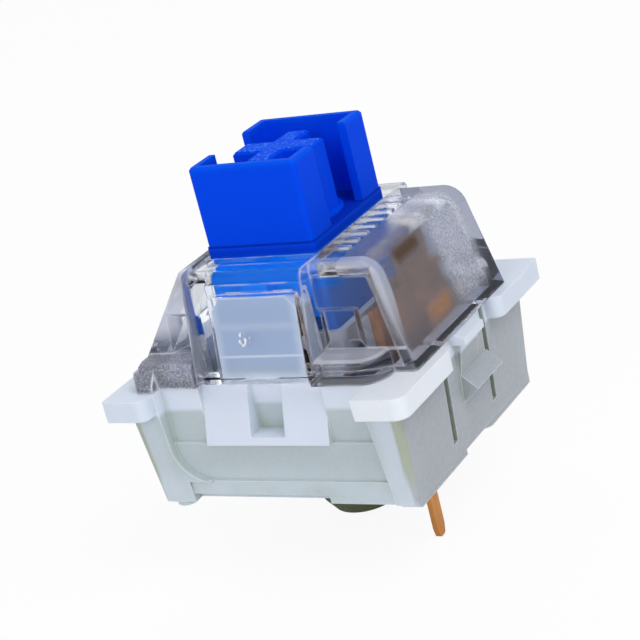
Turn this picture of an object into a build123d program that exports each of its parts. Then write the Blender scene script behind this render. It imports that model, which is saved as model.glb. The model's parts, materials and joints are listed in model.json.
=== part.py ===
from build123d import *
import math
import os

# Push switch for one key of a keyboard, in millimetres, +Z up.
# The origin is on the locating post's axis, at the face of the floor strips that stand on the circuit board.
# +X and -X are the latch sides, +Y is the contact side and -Y is the lamp side.
# Each function returns the solid of one piece, or of one feature of a piece.
# A pair such as (low, high) is a span along one axis.

# Heights shared by several pieces
FLOOR_UNDER = 0.3
FLOOR_TOP = 1.0
PLATE_Z = 5.0
SEAM_Z = 6.0
ARCH_TOP = 11.1
COLLAR_TOP = 11.18
STEM_TOP = 15.45
CROSS_TOP = 15.15
PIN_TIP = -3.45

# How far a feature reaches into its neighbour, how far a cut runs out, and how near counts as equal
JOIN = 0.1
FAR = 20.0
NEAR = 0.01

# Lower housing: flange, tapered body, post
FLANGE = 15.6
FLANGE_R = 0.25
FLANGE_FRONT_R = 0.6
FLANGE_GAP_X = (-2.9, 2.4)
FLANGE_GAP_Y = (-5.5, 5.15)
FLANGE_END_R = 0.5
BODY_TOP = 14.0
BODY_FOOT = (13.2, 13.4)
BODY_CORNER_R = 0.3
CAVITY = (10.2, 11.6)
CAVITY_R = 0.6
POST_R = 2.0
POST_TIP_R = 1.55
POST_SHOULDER = -2.3
POST_END = -2.95
BORE_R = 1.5
BORE_END = -2.2
BOSS_R = 1.9
BOSS_TOP = 3.4

# Lower housing: latch sides
RECESS_Y = (-5.35, 5.6)
RECESS_LOW = 1.4
RECESS_LEAN = 0.3
RECESS_CORNER_R = 1.7
BAND_X = 6.52
BAND_LOW = 0.7
BAND_REBATE = 0.5
BAND_START = -4.95
REBATE_END = 2.3
RECESS_X = 6.42
UPPER_RECESS_X = 6.32
LATCH_Z = 3.3
LATCH_Y = (-3.35, 3.1)
LATCH_ROOT_X = 5.6
LATCH_TOP_X = 5.8
LATCH_NOSE_X = 6.75
LATCH_GROOVE_Y = (-0.95, 0.85)
LATCH_SILL = 0.35
LATCH_TOP = 6.2

# Lower housing: guide towers
TOWER_Y = 2.2
TOWER_TOP = 9.8
TOWER_IN_X = 4.25
TOWER_TOP_X = 5.05
TOWER_SEAM_X = 5.62
TOWER_CORNER = 0.5
GROOVE_X = 4.72
GROOVE_Y = 0.8

# Lower housing: plate clips on the +Y and -Y sides
CLIP_X = (-2.2, 1.9)
CLIP_ROOT_Z = 1.1
CLIP_SLOT = 0.45
CLIP_LIP_X = (-0.95, 1.15)
CLIP_LIP_Y = 7.8
CLIP_LIP_Z = (5.45, 5.8)
CLIP_RIB_X = (-1.2, 0.7)
CLIP_RIB_Y = 7.35
CLIP_NUB_X = (-2.2, 0.7)
CLIP_NUB_Y = 7.7
CLIP_NUB_Z = (2.3, 3.1, 3.75)
CLIP_DEPTH = 0.35

# Lower housing: floor
STRIP_Y = (5.65, 6.65)
STRIP_EAST_X = (1.15, 6.5)
STRIP_WEST_X = (-6.55, -1.9)
STRIP_SLOPE = 0.35
STUBS = [(5.95, -5.85), (-5.95, -5.85), (-1.9, 6.15)]
STUB_R = 0.5
LAMP_WINDOW = (3.4, 1.7)
LAMP_WALL_Y = (-3.95, -3.55)
INNER_WALL_TOP = 5.5
TERMINAL_RIB_X = (3.0, 3.5)

# Upper housing
ARCH_NORTH = (7.3, 6.19)
ARCH_SOUTH = (7.42, 3.8)
ARCH_NORTH_R = 1.05
ARCH_SOUTH_R = 0.5
ARCH_HALF_X = (5.0, 4.75)
ARCH_EDGE_R = 0.2
ARCH_INNER_R = 0.18
COLLAR_LOW = 6.2
COLLAR_Y = (-3.25, 3.0)
COLLAR_HALF_X = (6.4, 5.45)
COLLAR_R = 0.35
SHELL = 0.85
ROOF = 0.75
TOWER_GAP = 0.1
END_WALL = 0.7
STEM_HOLE = (7.3, 5.9)
FOOT_TOP = 7.15
FOOT_X = 6.38
FOOT_IN_X = 4.5
FOOT_NORTH_Y = (2.7, 6.2)
FOOT_SOUTH_Y = (-6.6, -3.4)
FOOT_NORTH_R = 1.2
FOOT_SOUTH_R = 0.7
FOOT_BEVEL = 0.2
FOOT_PLAY = 0.05
TOE_X = 6.85
TOE_Y = -5.45
TOE_Z = (6.25, 6.85)
TOE_R = 0.6
# Each window's floor and rim: x, outer end along y, lower and upper z
WINDOW_FLOOR = (4.4, 4.55, 7.3, 8.75)
WINDOW_RIM = (5.0, 5.2, 7.15, 9.15)
HOOK_Y = (3.7, 5.1)
HOOK_X = (4.45, 5.0)
HOOK_LOW = 4.3
HOOK_BARB = 0.35
HOOK_NECK = 0.05
HOOK_PLAY = 0.15
LAMP_SLOT_X = 1.7
LAMP_SLOT_Y = -5.2
LAMP_SLOT_TOP = 8.9
RIBS = 8
RIB_SIZE = (0.3, 1.25, 0.12)
RIB_PITCH = 0.88
RIB_Y = 3.72

# Stem
NECK = (6.92, 5.56)
NECK_EDGE_R = 0.25
BAND = (7.04, 5.66)
BAND_TOP = 11.65
OPEN_HALF_X = 1.6
WALL_T = (0.4, 0.43)
SOCKET_R = 2.3
SOCKET_STEP = 0.15
TOP_BEVEL = 0.12
CROSS_LONG = 4.1
CROSS_T = (1.17, 1.31)
SKIRT_TOP = 10.3
WING_LOW = 8.35
WING = (4.12, 2.4)
RAIL = (4.6, 0.7)
STEM_LOW = 5.15
BARREL = (6.4, 5.52)
POCKET_R = 2.45
POCKET_TOP = 9.6
POLE_R = 1.43
POLE_END = 2.2
BARB = (3.55, 0.8, 0.25)

# Click jacket
JACKET_Z = (5.45, 7.4)
JACKET_OUT = (7.3, 6.5)
JACKET_IN = (6.6, 5.72)
JACKET_R = (0.5, 0.3)
CAM_X = (1.25, 2.35)
CAM_Y = (3.15, 3.5, 4.3)
CAM_Z = (5.55, 6.2, 6.5, 7.2)

# Return spring
WIRE_R = 0.12
COIL_R = 2.18
COILS = 8
WIRE_SIDES = 6

# Contacts
BLADE_T = 0.25
MOVING_PIN = (2.54, 5.08)
FIXED_PIN = (-3.81, 2.54)
PIN_W = 0.74
PIN_POINT = 0.5
PIN_NOSE = 0.24
PIN_NOSE_R = 0.18
PIN_PLAY = 0.05
PLATE_HALF_X = 3.8
PLATE_LOW = 1.5
PLATE_STEPS = (6.45, 8.45, 10.2)
PLATE_WEST = -2.5
PLATE_NECK_X = (-1.5, 1.3)
PLATE_R = 0.35
LEAF_T = 0.15
LEAF_HALF_X = 2.6
LEAF_ROOT_Z = (1.6, 3.4)
TONGUE_HALF_X = 0.7
TONGUE_Y = 4.87
TONGUE_TOP = 8.5
ARM_X = (1.2, 2.4)
ARM_Y = 4.57
ARM_TOP = 8.15
BEND_Z = (4.8, 5.6)
FIXED_Y = (3.7, 3.95)
FIXED_HALF_X = 0.8
FIXED_TOP = 8.4
FIXED_CORNER = 0.4
LINK_Y = 3.0
POINT_Z = 7.9
POINT_LONG = 1.1
POINT_SHORT = 0.4
POINT_T = (0.22, 0.2)


def block(x, y, z):
    """A square-cornered block between two limits along each axis."""
    middle = [(low + high) / 2 for low, high in (x, y, z)]
    return Pos(*middle) * Box(x[1] - x[0], y[1] - y[0], z[1] - z[0])


def side_prism(outline, y):
    """An outline of (x, z) corners, extruded from one y to another."""
    face = make_face(Polyline([(x, y[0], z) for x, z in outline], close=True))
    return extrude(face, amount=y[1] - y[0], dir=(0, 1, 0))


def end_prism(outline, x):
    """An outline of (y, z) corners, extruded from one x to another."""
    face = make_face(Polyline([(x[0], y, z) for y, z in outline], close=True))
    return extrude(face, amount=x[1] - x[0], dir=(1, 0, 0))


def plan_prism(outline, z):
    """An outline of (x, y) corners, extruded from one z to another."""
    face = make_face(Polyline([(x, y, z[0]) for x, y in outline], close=True))
    return extrude(face, amount=z[1] - z[0], dir=(0, 0, 1))


def with_mirror(part, plane=Plane.YZ):
    """A feature and its mirror image."""
    return part + mirror(part, about=plane)


# Lower housing


def tapered_body():
    """The solid body, which narrows from the plate down to the floor."""
    rim = Pos(0, 0, PLATE_Z) * RectangleRounded(BODY_TOP, BODY_TOP, BODY_CORNER_R)
    foot = Pos(0, 0, FLOOR_UNDER) * RectangleRounded(*BODY_FOOT, BODY_CORNER_R)
    return loft([foot, rim], ruled=True) + extrude(rim, amount=SEAM_Z - PLATE_Z)


def flange_corners():
    """The four corners of the flange, with a gap in the middle of each side."""
    plan = Rectangle(FLANGE, FLANGE)
    plan = fillet(plan.vertices().sort_by(lambda v: v.X + v.Y)[-1], FLANGE_FRONT_R)
    plan = fillet([v for v in plan.vertices() if abs(abs(v.X) - abs(v.Y)) < NEAR], FLANGE_R)
    gap_x = FLANGE_GAP_X[1] - FLANGE_GAP_X[0]
    gap_y = FLANGE_GAP_Y[1] - FLANGE_GAP_Y[0]
    plan -= Pos(sum(FLANGE_GAP_X) / 2, 0) * Rectangle(gap_x, FAR)
    plan -= Pos(0, sum(FLANGE_GAP_Y) / 2) * Rectangle(FAR, gap_y)
    outer = [v for v in plan.vertices() if max(abs(v.X), abs(v.Y)) > FLANGE / 2 - NEAR]
    ends = [v for v in outer if abs(v.Y - FLANGE_GAP_Y[0]) < NEAR
            or min(abs(v.X - x) for x in FLANGE_GAP_X) < NEAR]
    return extrude(Pos(0, 0, PLATE_Z) * fillet(ends, FLANGE_END_R), amount=SEAM_Z - PLATE_Z)


def latch_side_cut():
    """What is taken off the +X side: three steps, the middle one with a round lower corner."""
    south, north = RECESS_Y
    lean = RECESS_LEAN / (SEAM_Z - BAND_LOW)

    def side(z):
        return north - lean * (z - BAND_LOW)

    def step(face_x, start, low, high):
        outline = [(start, low), (side(low), low), (side(high), high), (start, high)]
        return end_prism(outline, (face_x, FAR))

    middle = step(RECESS_X, south, RECESS_LOW, LATCH_Z)
    corner = middle.edges().filter_by(Axis.X).sort_by(Axis.Z)[:2].sort_by(Axis.Y)[0]
    middle = fillet(corner, RECESS_CORNER_R)
    upper = step(UPPER_RECESS_X, south, LATCH_Z, SEAM_Z + 1)
    band = step(BAND_X, BAND_START, FLOOR_UNDER - JOIN, RECESS_LOW)
    rebate = block((BAND_X - BAND_REBATE, FAR), (BAND_START, REBATE_END), (FLOOR_UNDER - JOIN, BAND_LOW))
    pocket = block((LATCH_ROOT_X, FAR), LATCH_Y, (LATCH_Z, SEAM_Z + 1))
    return middle + upper + band + rebate + pocket


def latch_ramp():
    """The ramp on the +X side that slopes out to a sharp lower nose, with a groove up its middle."""
    root = LATCH_ROOT_X - JOIN
    ramp = side_prism([(root, LATCH_Z), (LATCH_NOSE_X, LATCH_Z), (LATCH_TOP_X, LATCH_TOP), (root, LATCH_TOP)],
                      LATCH_Y)
    groove = block((LATCH_ROOT_X, FAR), LATCH_GROOVE_Y, (LATCH_Z + LATCH_SILL, SEAM_Z + 1))
    foot = block((0, FAR), (FOOT_NORTH_Y[0] - FOOT_PLAY, FAR), (SEAM_Z, SEAM_Z + 1))
    return ramp - groove - foot


def tower():
    """The guide tower on the +X side, with chamfered top corners and a groove for the stem's rail."""
    low = FLOOR_TOP - JOIN
    outline = [(TOWER_IN_X, low), (TOWER_SEAM_X, low), (TOWER_SEAM_X, SEAM_Z),
               (TOWER_TOP_X, TOWER_TOP), (TOWER_IN_X, TOWER_TOP)]
    column = side_prism(outline, (-TOWER_Y, TOWER_Y))
    corner = TOWER_CORNER
    front = end_prism([(-TOWER_Y, low), (TOWER_Y, low), (TOWER_Y, TOWER_TOP - corner),
                       (TOWER_Y - corner, TOWER_TOP), (-TOWER_Y + corner, TOWER_TOP),
                       (-TOWER_Y, TOWER_TOP - corner)], (0, FAR))
    groove = block((0, GROOVE_X), (-GROOVE_Y, GROOVE_Y), (FLOOR_TOP, FAR))
    return (column & front) - groove


def plate_clip():
    """The springy tongue of the +Y side: a lip, a rib and a wedge that snaps under the plate."""
    wall = BODY_TOP / 2
    inside = wall - CLIP_DEPTH
    lip_low, lip_high = CLIP_LIP_Z
    low, nose, high = CLIP_NUB_Z
    lip = end_prism([(inside, lip_low), (CLIP_LIP_Y, lip_low), (CLIP_LIP_Y, lip_high), (wall, SEAM_Z),
                     (inside, SEAM_Z)], CLIP_LIP_X)
    rib = end_prism([(inside, lip_low), (CLIP_RIB_Y, lip_low), (wall, high), (inside, high)], CLIP_RIB_X)
    nub = end_prism([(inside, high), (wall, high), (CLIP_NUB_Y, nose), (BODY_FOOT[1] / 2, low),
                     (inside, low)], CLIP_NUB_X)
    return lip + rib + nub


def clip_slots():
    """The slots on either side of the tongue, cut through the +Y wall."""
    wall = (CAVITY[1] / 2 - JOIN, FAR)
    east = block((CLIP_X[1], CLIP_X[1] + CLIP_SLOT), wall, (CLIP_ROOT_Z, SEAM_Z + 1))
    west = block((CLIP_X[0] - CLIP_SLOT, CLIP_X[0]), wall, (CLIP_ROOT_Z, SEAM_Z + 1))
    return east + west


def floor_strips():
    """The two strips and the stubs that stand on the circuit board."""
    west, east = STRIP_EAST_X
    strips = side_prism([(west, 0), (east - STRIP_SLOPE, 0), (east, STRIP_SLOPE), (east, FLOOR_TOP),
                         (west, FLOOR_TOP)], STRIP_Y)
    strips += block(STRIP_WEST_X, STRIP_Y, (0, FLOOR_TOP))
    for x, y in STUBS:
        strips += Pos(x, y, FLOOR_TOP / 2) * Cylinder(STUB_R, FLOOR_TOP)
    return strips


def locating_post():
    """The round post under the floor and the boss above it, before their common bore is cut."""
    corners = [(0, POST_END), (POST_TIP_R, POST_END), (POST_R, POST_SHOULDER), (POST_R, FLOOR_TOP),
               (BOSS_R, FLOOR_TOP), (BOSS_R, BOSS_TOP), (0, BOSS_TOP)]
    return revolve(Plane.XZ * make_face(Polyline(corners, close=True)), Axis.Z)


def pin_slot(x, y):
    """A slot through the floor for a terminal's pin."""
    long = PIN_W / 2 + PIN_PLAY
    short = BLADE_T / 2 + PIN_PLAY
    return block((x - long, x + long), (y - short, y + short), (-1, FLOOR_TOP + 1))


def hook_pockets():
    """The pockets inside the +X wall that the upper housing's hooks snap into."""
    play = HOOK_PLAY
    pocket = block((CAVITY[0] / 2 - JOIN, HOOK_X[1] + HOOK_BARB + play), (HOOK_Y[0] - play, HOOK_Y[1] + play),
                   (HOOK_LOW - play, HOOK_LOW + HOOK_BARB + HOOK_NECK + play))
    return with_mirror(pocket, Plane.XZ)


def terminal_ribs():
    """The ribs on the +Y wall that hold the moving contact's terminal upright."""
    wall = (MOVING_PIN[1] + BLADE_T / 2, CAVITY[1] / 2 + JOIN)
    return with_mirror(block(TERMINAL_RIB_X, wall, (FLOOR_TOP - JOIN, INNER_WALL_TOP)))


def lamp_wall():
    """The wall across the -Y side, between the lamp's room and the stem."""
    reach = TOWER_IN_X + JOIN
    return block((-reach, reach), LAMP_WALL_Y, (FLOOR_TOP - JOIN, INNER_WALL_TOP))


def lamp_window():
    """The window through the floor for a lamp on the circuit board."""
    half, depth = LAMP_WINDOW[0] / 2, LAMP_WINDOW[1]
    return block((-half, half), (LAMP_WALL_Y[0] - depth, LAMP_WALL_Y[0]), (-1, FLOOR_TOP + JOIN))


def make_lower_housing():
    """The milky lower housing, one moulding."""
    shell = tapered_body() + flange_corners()
    shell -= with_mirror(latch_side_cut())
    shell -= extrude(Pos(0, 0, FLOOR_TOP) * RectangleRounded(*CAVITY, CAVITY_R), amount=FAR)
    shell += with_mirror(latch_ramp()) + with_mirror(tower())
    shell -= with_mirror(clip_slots(), Plane.XZ)
    shell += with_mirror(plate_clip(), Plane.XZ) + lamp_wall()
    shell -= with_mirror(hook_pockets())
    shell += terminal_ribs() + floor_strips() + locating_post()
    bore = Pos(0, 0, BORE_END) * Cylinder(BORE_R, FAR, align=(Align.CENTER, Align.CENTER, Align.MIN))
    shell -= bore + lamp_window()
    return shell - pin_slot(*MOVING_PIN) - pin_slot(*FIXED_PIN)


# Upper housing


def arch_outline(inset, low):
    """The (y, z) section of the arch, moved in by an inset, with its rounded shoulders."""
    top = ARCH_TOP - inset
    rise = ARCH_TOP - SEAM_Z
    north_lean = (ARCH_NORTH[0] - ARCH_NORTH[1]) / rise
    south_lean = (ARCH_SOUTH[0] - ARCH_SOUTH[1]) / rise

    def wall(foot, lean, z):
        return foot - inset * math.hypot(1, lean) - lean * (z - SEAM_Z)

    corners = [(wall(ARCH_NORTH[0], north_lean, low), low), (wall(ARCH_NORTH[0], north_lean, top), top),
               (-wall(ARCH_SOUTH[0], south_lean, top), top), (-wall(ARCH_SOUTH[0], south_lean, low), low)]
    face = make_face(Polyline(corners, close=True))
    north = face.vertices().sort_by(Axis.Y)[-2:].sort_by(Axis.X)[-1]
    face = fillet(north, max(ARCH_NORTH_R - inset, ARCH_INNER_R))
    south = face.vertices().sort_by(Axis.Y)[-2:].sort_by(Axis.X)[0]
    face = fillet(south, max(ARCH_SOUTH_R - inset, ARCH_INNER_R))
    return Plane.YZ * face


def arch(inset, end_inset, low=SEAM_Z):
    """The arch as a solid, moved in by one inset all round and by another at its two leaning ends."""
    lean = (ARCH_HALF_X[0] - ARCH_HALF_X[1]) / (ARCH_TOP - SEAM_Z)
    foot = ARCH_HALF_X[0] - end_inset + lean * (SEAM_Z - low)
    crown = ARCH_HALF_X[1] - end_inset
    ends = side_prism([(-foot, low), (foot, low), (crown, ARCH_TOP), (-crown, ARCH_TOP)], (-FAR, FAR))
    return extrude(arch_outline(inset, low), amount=FAR, both=True) & ends


def rounded_arch():
    """The arch's outside, with its end edges rounded."""
    solid = arch(0, 0)
    ends = [face for face in solid.faces() if abs(face.center().X) > ARCH_HALF_X[1]]
    rims = [edge for face in ends for edge in face.edges() if edge.center().Z > SEAM_Z + NEAR]
    return fillet(rims, ARCH_EDGE_R)


def collar():
    """The band that wraps over the arch and stands proud on top and over the towers."""
    foot, crown = COLLAR_HALF_X
    corners = [(-foot, COLLAR_LOW), (foot, COLLAR_LOW), (crown, COLLAR_TOP), (-crown, COLLAR_TOP)]
    face = make_face(Polyline(corners, close=True))
    face = fillet(face.vertices().group_by(Axis.Y)[-1], COLLAR_R)
    south, north = COLLAR_Y
    return Pos(0, north, 0) * extrude(Plane.XZ * face, amount=north - south)


def tower_room():
    """The room inside the collar for the towers, the stem's wings and its rails."""
    gap = TOWER_GAP
    lean = (TOWER_SEAM_X - TOWER_TOP_X) / (TOWER_TOP - SEAM_Z)
    foot = TOWER_SEAM_X + gap + lean
    crown = TOWER_TOP_X + gap
    over = TOWER_TOP + gap
    room = side_prism([(-foot, SEAM_Z - 1), (foot, SEAM_Z - 1), (crown, over), (-crown, over)],
                      (-TOWER_Y - gap, TOWER_Y + gap))
    rail = RAIL[0] + gap
    return room + block((-rail, rail), (-WING[1] - gap, WING[1] + gap), (SEAM_Z - 1, ARCH_TOP - ROOF))


def foot_pads():
    """The two feet of the +X side that stand on the lower housing beside the collar."""
    middle = (FOOT_IN_X + FOOT_X) / 2
    base = Pos(middle, 0, SEAM_Z)
    wide = FOOT_X - FOOT_IN_X
    feet = []
    for low, high, radius in ((*FOOT_NORTH_Y, FOOT_NORTH_R), (*FOOT_SOUTH_Y, FOOT_SOUTH_R)):
        plan = base * Pos(0, (low + high) / 2) * Rectangle(wide, high - low)
        outer = [v for v in plan.vertices() if v.X > middle and abs(v.Y) > -TOE_Y]
        plan = fillet(outer, radius)
        foot = extrude(plan, amount=FOOT_TOP - SEAM_Z)
        rim = [edge for edge in foot.edges().group_by(Axis.Z)[-1] if edge.center().X > middle]
        feet.append(chamfer(rim, FOOT_BEVEL))
    return feet[0] + feet[1] + toe()


def toe():
    """The sloping toe at the outer corner of the -Y foot."""
    low, high = TOE_Z
    side = side_prism([(FOOT_IN_X, SEAM_Z), (TOE_X, SEAM_Z), (TOE_X, low), (FOOT_X, high), (FOOT_IN_X, high)],
                      (FOOT_SOUTH_Y[0], TOE_Y))
    corner = side.edges().filter_by(Axis.Z).sort_by(Axis.X)[-2:].sort_by(Axis.Y)[0]
    return fillet(corner, TOE_R)


def hooks():
    """The two hooked legs of the +X side that snap into the lower housing."""
    low, barb = HOOK_LOW, HOOK_BARB
    inner, outer = HOOK_X
    root = SEAM_Z + JOIN
    outline = [(inner, low), (outer, low), (outer + barb, low + barb), (outer, low + barb + HOOK_NECK),
               (outer, root), (inner, root)]
    return with_mirror(side_prism(outline, HOOK_Y), Plane.XZ)


def end_window(start, side):
    """A shallow window with sloping sides in the +X end, from the collar to one side."""

    def outline(x, end, low, high):
        corners = [(x, start, low), (x, side * end, low), (x, side * end, high), (x, start, high)]
        return make_face(Polyline(corners, close=True))

    return loft([outline(*WINDOW_FLOOR), outline(*WINDOW_RIM)], ruled=True)


def top_ribs():
    """The plain row of ribs on the flat top, along the +Y edge."""
    width, length, height = RIB_SIZE
    rib = Pos(0, RIB_Y, ARCH_TOP) * Box(width, length, 2 * height)
    row = [Pos((i - (RIBS - 1) / 2) * RIB_PITCH, 0, 0) * rib for i in range(RIBS)]
    return sum(row[1:], row[0])


def make_upper_housing():
    """The clear upper housing, one moulding."""
    shell = rounded_arch() + collar() + with_mirror(foot_pads())
    roof = block((-FAR, FAR), (-FAR, FAR), (ARCH_TOP - ROOF, FAR))
    shell -= arch(SHELL, END_WALL, SEAM_Z - 1) - roof
    shell -= tower_room()
    shell -= with_mirror(end_window(COLLAR_Y[1], 1) + end_window(COLLAR_Y[0], -1))
    shell -= extrude(Pos(0, 0, SEAM_Z) * Rectangle(*STEM_HOLE), amount=FAR)
    shell -= block((-LAMP_SLOT_X, LAMP_SLOT_X), (-FAR, LAMP_SLOT_Y), (SEAM_Z - 1, LAMP_SLOT_TOP))
    return shell + with_mirror(hooks()) + top_ribs()


# Stem


def stem_neck():
    """The square neck above the housing: two bracket-shaped walls around the cross."""
    height = STEM_TOP - BAND_TOP
    neck = extrude(Pos(0, 0, BAND_TOP) * RectangleRounded(*NECK, NECK_EDGE_R), amount=height)
    room = (NECK[0] - 2 * WALL_T[0], NECK[1] - 2 * WALL_T[1])
    neck -= extrude(Pos(0, 0, BAND_TOP) * Rectangle(*room), amount=height)
    neck -= block((-OPEN_HALF_X, OPEN_HALF_X), (-FAR, FAR), (BAND_TOP, FAR))
    rims = [edge for edge in neck.edges().group_by(Axis.Z)[-1] if abs(edge.center().X) > NECK[0] / 2 - NEAR]
    return chamfer(rims, TOP_BEVEL)


def cross():
    """The cross that carries the keycap."""
    height = CROSS_TOP - BAND_TOP + JOIN
    plan = Rectangle(CROSS_LONG, CROSS_T[0]) + Rectangle(CROSS_T[1], CROSS_LONG)
    solid = extrude(Pos(0, 0, BAND_TOP - JOIN) * plan, amount=height)
    return chamfer(solid.edges().group_by(Axis.Z)[-1], TOP_BEVEL)


def stem_pole():
    """The round pole under the stem that runs in the lower housing's boss."""
    return Pos(0, 0, POLE_END) * Cylinder(POLE_R, POCKET_TOP + JOIN - POLE_END,
                                          align=(Align.CENTER, Align.CENTER, Align.MIN))


def jacket_barb():
    """The barb on the barrel's +X side that keeps the click jacket on."""
    reach, half_y, height = BARB
    face = BARREL[0] / 2
    inside = face - JOIN
    top = STEM_LOW + height
    return side_prism([(inside, STEM_LOW), (face, STEM_LOW), (reach, top), (inside, top)], (-half_y, half_y))


def make_stem():
    """The stem: neck and cross on a hollow barrel, with wings, guide rails and a centre pole."""
    barrel_plan = Pos(0, 0, STEM_LOW) * RectangleRounded(*BARREL, NECK_EDGE_R)
    band_plan = Pos(0, 0, SKIRT_TOP) * RectangleRounded(*BAND, NECK_EDGE_R)
    barrel = extrude(barrel_plan, amount=SKIRT_TOP - STEM_LOW)
    band = extrude(band_plan, amount=BAND_TOP - SKIRT_TOP)
    solid = barrel + band + stem_neck() + cross()
    solid += Pos(0, 0, BAND_TOP) * Cylinder(SOCKET_R, 2 * SOCKET_STEP)
    for half_x, half_y in (WING, RAIL):
        solid += block((-half_x, half_x), (-half_y, half_y), (WING_LOW, SKIRT_TOP))
    depth = POCKET_TOP - STEM_LOW
    solid -= Pos(0, 0, STEM_LOW + depth / 2) * Cylinder(POCKET_R, depth)
    return solid + stem_pole() + with_mirror(jacket_barb())


# Click jacket


def make_click_jacket():
    """The loose ring around the stem's barrel, with two cams that work the moving contact."""
    base = Pos(0, 0, JACKET_Z[0])
    ring = RectangleRounded(*JACKET_OUT, JACKET_R[0]) - RectangleRounded(*JACKET_IN, JACKET_R[1])
    ring = extrude(base * ring, amount=JACKET_Z[1] - JACKET_Z[0])
    root, face, tip = CAM_Y
    foot, low, high, top = CAM_Z
    cam = end_prism([(root, foot), (face, foot), (tip, low), (tip, high), (face, top), (root, top)], CAM_X)
    return ring + with_mirror(cam)


# Return spring


def make_return_spring():
    """The coil between the floor and the roof of the stem's pocket, its wire drawn as a polygon."""
    height = POCKET_TOP - FLOOR_TOP - 2 * WIRE_R
    path = Pos(0, 0, FLOOR_TOP + WIRE_R) * Helix(height / COILS, height, COIL_R)
    section = Plane(origin=path @ 0, z_dir=path % 0) * RegularPolygon(WIRE_R, WIRE_SIDES)
    return sweep(section, path=path, is_frenet=True)


# Contacts


def terminal_pin(x, y, top):
    """A flat pin with a round tip, up to a given height."""
    half = PIN_W / 2
    shoulder = PIN_TIP + PIN_POINT
    face = make_face(Polyline([(-half, top), (half, top), (half, shoulder), (PIN_NOSE, PIN_TIP),
                               (-PIN_NOSE, PIN_TIP), (-half, shoulder)], close=True))
    face = fillet(face.vertices().group_by(Axis.Y)[0], PIN_NOSE_R)
    return Pos(x, y, 0) * extrude(Plane.XZ * face, amount=BLADE_T / 2, both=True)


def make_moving_terminal():
    """The upright plate behind the leaf, with the outer pin."""
    x, y = MOVING_PIN
    west_tab, step, top = PLATE_STEPS
    neck_west, neck_east = PLATE_NECK_X
    outline = [(-PLATE_HALF_X, PLATE_LOW), (PLATE_HALF_X, PLATE_LOW), (PLATE_HALF_X, step),
               (neck_east, step), (neck_east, top), (neck_west, top), (neck_west, step),
               (PLATE_WEST, step), (PLATE_WEST, west_tab), (-PLATE_HALF_X, west_tab)]
    plate = side_prism(outline, (y - BLADE_T / 2, y + BLADE_T / 2))
    corners = plate.edges().filter_by(Axis.Y).group_by(Axis.Z)[-1]
    return fillet(corners, PLATE_R) + terminal_pin(x, y, PLATE_LOW + JOIN)


def make_fixed_terminal():
    """The inner pin, a strip along the floor and the narrow plate in front of the leaf."""
    x, y = FIXED_PIN
    half = PIN_W / 2
    floor = (FLOOR_TOP, FLOOR_TOP + BLADE_T)
    strip = block((x - half, x + half), (y - BLADE_T / 2, FIXED_Y[1]), floor)
    strip += block((x + half - JOIN, FIXED_HALF_X), (LINK_Y, FIXED_Y[1]), floor)
    plate = block((-FIXED_HALF_X, FIXED_HALF_X), FIXED_Y, (FLOOR_TOP, FIXED_TOP))
    plate = chamfer(plate.edges().filter_by(Axis.Y).group_by(Axis.Z)[-1], FIXED_CORNER)
    return strip + plate + terminal_pin(x, y, FLOOR_TOP + JOIN)


def leaf_sheet(bends, x):
    """A sheet that follows a line of (y, z) bends on its outer face."""
    inner = [(y - LEAF_T, z) for y, z in reversed(bends)]
    return end_prism(bends + inner, x)


def make_contact_leaf():
    """The forked spring sheet: a root against the terminal, a middle tongue and two arms for the cams."""
    face = MOVING_PIN[1] - BLADE_T / 2
    low, root = LEAF_ROOT_Z
    bend, straight = BEND_Z
    sheet = leaf_sheet([(face, low), (face, root)], (-LEAF_HALF_X, LEAF_HALF_X))
    start = root - JOIN
    sheet += leaf_sheet([(face, start), (face, bend), (TONGUE_Y, straight), (TONGUE_Y, TONGUE_TOP)],
                        (-TONGUE_HALF_X, TONGUE_HALF_X))
    arm = leaf_sheet([(face, start), (face, bend), (ARM_Y, straight), (ARM_Y, ARM_TOP)], ARM_X)
    return sheet + with_mirror(arm)


def make_moving_crosspoint():
    """The contact bar on the tongue, lying level."""
    y = TONGUE_Y - LEAF_T
    half_x, half_z = POINT_LONG / 2, POINT_SHORT / 2
    outline = [(y, POINT_Z - half_z), (y, POINT_Z + half_z), (y - POINT_T[1], POINT_Z)]
    return end_prism(outline, (-half_x, half_x))


def make_fixed_crosspoint():
    """The contact bar on the fixed plate, standing upright."""
    y = FIXED_Y[1]
    half_x, half_z = POINT_SHORT / 2, POINT_LONG / 2
    outline = [(-half_x, y), (half_x, y), (0, y + POINT_T[0])]
    return plan_prism(outline, (POINT_Z - half_z, POINT_Z + half_z))


PIECES = {
    "lower_housing": make_lower_housing,
    "upper_housing": make_upper_housing,
    "stem": make_stem,
    "click_jacket": make_click_jacket,
    "return_spring": make_return_spring,
    "fixed_terminal": make_fixed_terminal,
    "fixed_crosspoint": make_fixed_crosspoint,
    "moving_terminal": make_moving_terminal,
    "contact_leaf": make_contact_leaf,
    "moving_crosspoint": make_moving_crosspoint,
}

os.makedirs("parts", exist_ok=True)
for name, make in PIECES.items():
    export_step(make(), f"parts/{name}.step")
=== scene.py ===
"""A push switch for one keyboard key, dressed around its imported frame.

The switch stands over a pale floor in soft studio light. Lengths whose names end in _mm are in millimetres,
and all other lengths are in metres. Places are in the frame's own axes.
"""

import json
import logging
import math
import operator
from dataclasses import dataclass, field
from enum import Enum
from functools import reduce

import bpy
from mathutils import Matrix, Vector


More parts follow.
